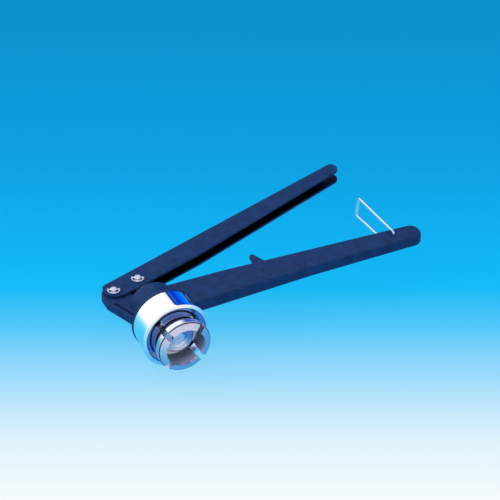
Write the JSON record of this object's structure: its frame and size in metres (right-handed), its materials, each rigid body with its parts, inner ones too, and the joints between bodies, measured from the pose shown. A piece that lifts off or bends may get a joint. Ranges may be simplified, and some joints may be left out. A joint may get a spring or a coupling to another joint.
{
  "type": "vial decapper",
  "caption": "Hand pliers with a round head: squeezing the handles tilts a ring of steel jaws inwards while a plunger moves forward, to pull crimped caps off vials.",
  "frame": {"origin": "centre of the open mouth, in the plane of the jaws' front faces", "axes": "-Y out of the mouth along the head's axis, +X along the fixed handle, +Z along the hinge pins, as the tool lies on its side"},
  "size_m": [0.2002, 0.1274, 0.043],
  "materials": {
    "blue_paint": "smooth dark blue paint",
    "polished_chrome": "polished plating",
    "jaw_steel": "turned",
    "turned_steel": "turned rings",
    "bright_steel": "ground",
    "spring_steel": "plated",
    "wire_steel": "drawn bright wire",
    "black_rubber": "matt"
  },
  "bodies": {
    "body": {"body_casting": "blue_paint", "collar": "polished_chrome", "pivot_pin": "bright_steel", "pivot_pin_clip": "spring_steel", "jaw_ring": "black_rubber", "return_spring": "spring_steel"},
    "moving_handle": {"moving_handle": "blue_paint", "drive_pin": "bright_steel", "drive_pin_clip": "spring_steel"},
    "plunger": {"pusher_head": "turned_steel", "pusher_screw": "bright_steel", "jaw_spreader": "turned_steel", "plunger_rod": "bright_steel", "drive_yoke": "bright_steel", "yoke_cross_pin": "bright_steel"},
    "jaw_right": {"jaw_right": "jaw_steel"},
    "jaw_top": {"jaw_top": "jaw_steel"},
    "jaw_left": {"jaw_left": "jaw_steel"},
    "jaw_bottom": {"jaw_bottom": "jaw_steel"},
    "bail": {"wire_bail": "wire_steel"}
  },
  "joints": [
    {"name": "handle_swing", "type": "hinge", "parent": "body", "child": "moving_handle", "pos_m": [-0.0178, 0.06434, 0], "axis": [0, 0, 1], "range_deg": [-18, 0], "stiffness_Nm_per_rad": 1.3, "springref_deg": 9.17},
    {"name": "plunger_slide", "type": "slide", "parent": "body", "child": "plunger", "axis": [0, 1, 0], "range_m": [-0.0058, 0], "deforming": ["return_spring"]},
    {"name": "jaw_right_tilt", "type": "hinge", "parent": "body", "child": "jaw_right", "pos_m": [0.0166, 0.0218, 0], "axis": [0, 0, 1], "range_deg": [-5.6, 0], "deforming": ["jaw_ring"]},
    {"name": "jaw_top_tilt", "type": "hinge", "parent": "body", "child": "jaw_top", "pos_m": [0, 0.0218, 0.0166], "axis": [-1, 0, 0], "range_deg": [-5.6, 0]},
    {"name": "jaw_left_tilt", "type": "hinge", "parent": "body", "child": "jaw_left", "pos_m": [-0.0166, 0.0218, 0], "axis": [0, 0, -1], "range_deg": [-5.6, 0]},
    {"name": "jaw_bottom_tilt", "type": "hinge", "parent": "body", "child": "jaw_bottom", "pos_m": [0, 0.0218, -0.0166], "axis": [1, 0, 0], "range_deg": [-5.6, 0]},
    {"name": "bail_swing", "type": "hinge", "parent": "body", "child": "bail", "pos_m": [0.1577, 0.0446, 0], "axis": [0, 0, 1], "range_deg": [-240, 46]}
  ],
  "couplings": [
    {"joint": "plunger_slide", "follows": "handle_swing", "m_per_rad": 0.018256},
    {"joint": "bail_swing", "follows": "handle_swing", "ratio": 3},
    {"joint": "jaw_right_tilt", "follows": "handle_swing", "ratio": 0.30556},
    {"joint": "jaw_top_tilt", "follows": "handle_swing", "ratio": 0.30556},
    {"joint": "jaw_left_tilt", "follows": "handle_swing", "ratio": 0.30556},
    {"joint": "jaw_bottom_tilt", "follows": "handle_swing", "ratio": 0.30556}
  ]
}
